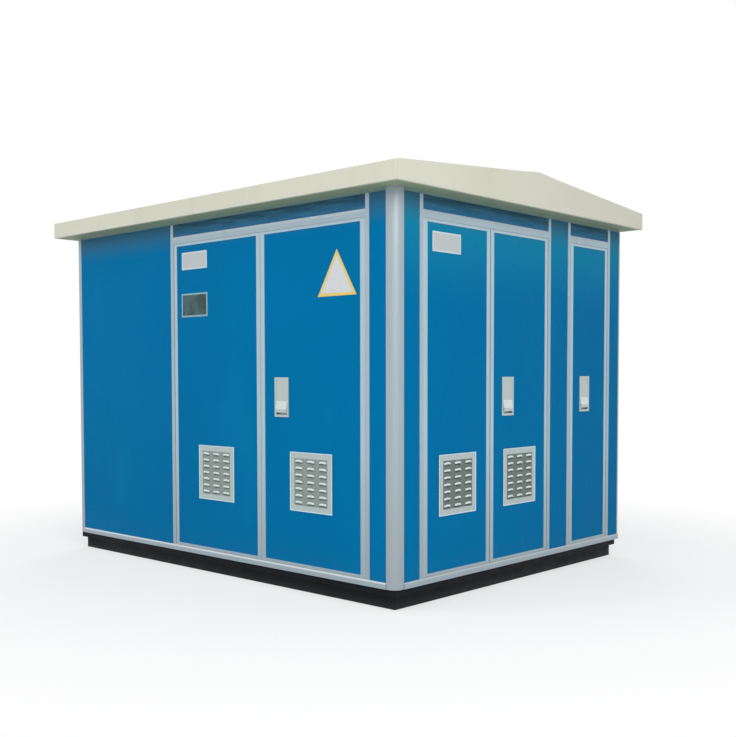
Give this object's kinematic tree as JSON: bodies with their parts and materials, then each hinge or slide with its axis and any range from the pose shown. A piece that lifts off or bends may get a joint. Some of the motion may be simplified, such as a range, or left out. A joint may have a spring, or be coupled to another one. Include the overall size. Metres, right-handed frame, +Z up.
{
  "type": "compact substation housing",
  "caption": "Framed sandwich-panel cabin for switchgear and a transformer, with double and single hinged doors, louvred vents, a black channel base and a low gable roof.",
  "frame": {"origin": "bottom centre of the base on the ground plane", "axes": "+X along the length towards the end with the doors, front with the double door at -Y, +Z up"},
  "size_m": [3.46, 2.72, 2.585],
  "materials": {
    "base_paint": "satin black paint",
    "floor": "chequered steel plate",
    "dark_rail": "dull grey-green paint",
    "frame_metal": "satin anodised",
    "blue_panel": "smooth coated sheet",
    "soffit_paint": "matt paint",
    "roof_paint": "matt beige paint",
    "vent_metal": "matt pressed sheet",
    "handle_metal": "satin",
    "plate_metal": "satin",
    "yellow_paint": "enamel",
    "tinted_glass": "tinted glass"
  },
  "bodies": {
    "housing": {"base_long_beams": "base_paint", "base_cross_beams": "base_paint", "floor_plate": "floor", "corner_posts": "frame_metal", "sill_rails": "frame_metal", "front_frame": "frame_metal", "front_wall": "blue_panel", "end_frame": "frame_metal", "end_wall": "blue_panel", "rear_frame": "frame_metal", "rear_wall": "blue_panel", "rear_vents": "vent_metal", "left_frame": "frame_metal", "left_wall": "blue_panel", "left_vents": "vent_metal", "top_rails": "dark_rail", "ceiling_plate": "soffit_paint", "roof_panels": "roof_paint", "eave_fascias": "roof_paint", "gable_fascias": "roof_paint", "ridge_cap": "roof_paint"},
    "front_left_leaf": {"front_left_edging": "frame_metal", "front_left_panel": "blue_panel", "front_left_vent": "vent_metal", "front_left_plate": "plate_metal", "window_frame": "plate_metal", "window_pane": "tinted_glass"},
    "front_right_leaf": {"front_right_edging": "frame_metal", "front_right_panel": "blue_panel", "front_right_vent": "vent_metal", "front_right_handle": "handle_metal", "triangular_plate": "yellow_paint"},
    "end_left_leaf": {"end_left_edging": "frame_metal", "end_left_panel": "blue_panel", "end_left_vent": "vent_metal", "end_left_plate": "plate_metal"},
    "end_right_leaf": {"end_right_edging": "frame_metal", "end_right_panel": "blue_panel", "end_right_vent": "vent_metal", "end_right_handle": "handle_metal"},
    "single_leaf": {"single_edging": "frame_metal", "single_panel": "blue_panel", "single_handle": "handle_metal"}
  },
  "joints": [
    {"name": "front_left_hinge", "type": "hinge", "parent": "housing", "child": "front_left_leaf", "pos_m": [-0.376, -1.234, 1.185], "axis": [0, 0, -1], "range_deg": [0, 110]},
    {"name": "front_right_hinge", "type": "hinge", "parent": "housing", "child": "front_right_leaf", "pos_m": [1.369, -1.234, 1.185], "axis": [0, 0, 1], "range_deg": [0, 110]},
    {"name": "end_left_hinge", "type": "hinge", "parent": "housing", "child": "end_left_leaf", "pos_m": [1.604, -0.986, 1.185], "axis": [0, 0, -1], "range_deg": [0, 110]},
    {"name": "end_right_hinge", "type": "hinge", "parent": "housing", "child": "end_right_leaf", "pos_m": [1.604, 0.28, 1.185], "axis": [0, 0, 1], "range_deg": [0, 110]},
    {"name": "single_hinge", "type": "hinge", "parent": "housing", "child": "single_leaf", "pos_m": [1.604, 1.053, 1.185], "axis": [0, 0, 1], "range_deg": [0, 110]}
  ]
}
